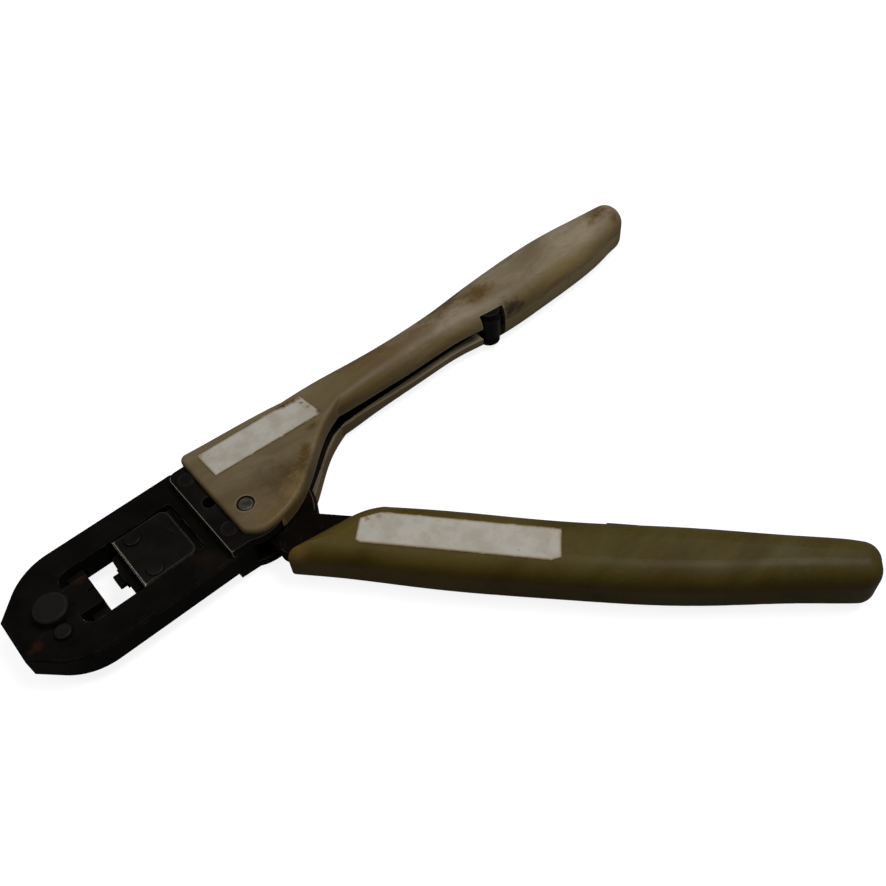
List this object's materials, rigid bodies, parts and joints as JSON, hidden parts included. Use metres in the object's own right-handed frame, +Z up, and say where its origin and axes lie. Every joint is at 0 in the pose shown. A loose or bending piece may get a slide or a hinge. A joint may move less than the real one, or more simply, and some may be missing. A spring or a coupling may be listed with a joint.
{
  "type": "ratchet crimping tool",
  "caption": "Hand crimping tool with a windowed steel head, sliding die ram, ratchet lever, moulded grips and an adjustable stop wheel.",
  "frame": {"origin": "on the flat outer face of the far casing half, on the ram axis, level with the handle pivot", "axes": "+X along the ram axis from the nose to the handles, +Y to the back of the fixed handle, +Z up through the thickness from the face the tool rests on"},
  "size_m": [0.2774, 0.1855, 0.0208],
  "materials": {
    "black_steel": "black oxide, rubbed bright and brown along its edges",
    "die_steel": "dark hardened steel with brown speckle",
    "bright_steel": "plain turned or stamped steel, dull",
    "spring_steel": "drawn spring wire",
    "casing_plastic": "moulded, grey-beige, yellowed and stained",
    "grip_plastic": "moulded, olive-beige, satin with handling"
  },
  "bodies": {
    "frame": {"head_frame": "black_steel", "side_plate_near": "black_steel", "side_plate_far": "black_steel", "cover_pins": "black_steel", "die_retaining_screw": "black_steel", "lock_screw": "black_steel", "stationary_die": "die_steel", "pivot_pin": "bright_steel", "hub_washer": "bright_steel", "return_spring": "spring_steel", "pawl_pin": "bright_steel", "pawl_spring": "spring_steel", "plate_spacers": "bright_steel", "casing_screws": "black_steel", "casing_near": "casing_plastic", "casing_far": "casing_plastic", "wheel_washer": "bright_steel", "wheel_pin": "bright_steel"},
    "handle": {"lever": "black_steel", "drive_pin": "bright_steel", "moving_grip": "grip_plastic", "striker_pad": "black_steel"},
    "ram": {"ram_plate_near": "black_steel", "ram_plate_far": "black_steel", "ram_stem": "black_steel", "ram_rivets": "black_steel", "die_pins": "black_steel", "moving_die": "die_steel"},
    "pawl": {"pawl": "bright_steel"},
    "stop_wheel": {"stop_wheel": "black_steel"}
  },
  "joints": [
    {"name": "handle_pivot", "type": "hinge", "parent": "frame", "child": "handle", "pos_m": [0, -0.0105, 0.0104], "axis": [0, 0, 1], "range_deg": [0, 48.3], "stiffness_Nm_per_rad": 0.5, "springref_deg": -20.05},
    {"name": "ram_slide", "type": "slide", "parent": "frame", "child": "ram", "axis": [-1, 0, 0], "range_m": [0, 0.0087]},
    {"name": "pawl_pivot", "type": "hinge", "parent": "frame", "child": "pawl", "pos_m": [0.02001, 0.01252, 0.0104], "axis": [0, 0, 1], "range_deg": [-20, 0], "stiffness_Nm_per_rad": 0.01, "springref_deg": 20.05},
    {"name": "stop_wheel_turn", "type": "hinge", "parent": "frame", "child": "stop_wheel", "pos_m": [0.1192, 0.00285, 0.0104], "axis": [0, 0, 1], "continuous": true}
  ],
  "couplings": [
    {"joint": "ram_slide", "follows": "handle_pivot", "m_per_rad": 0.010192}
  ]
}
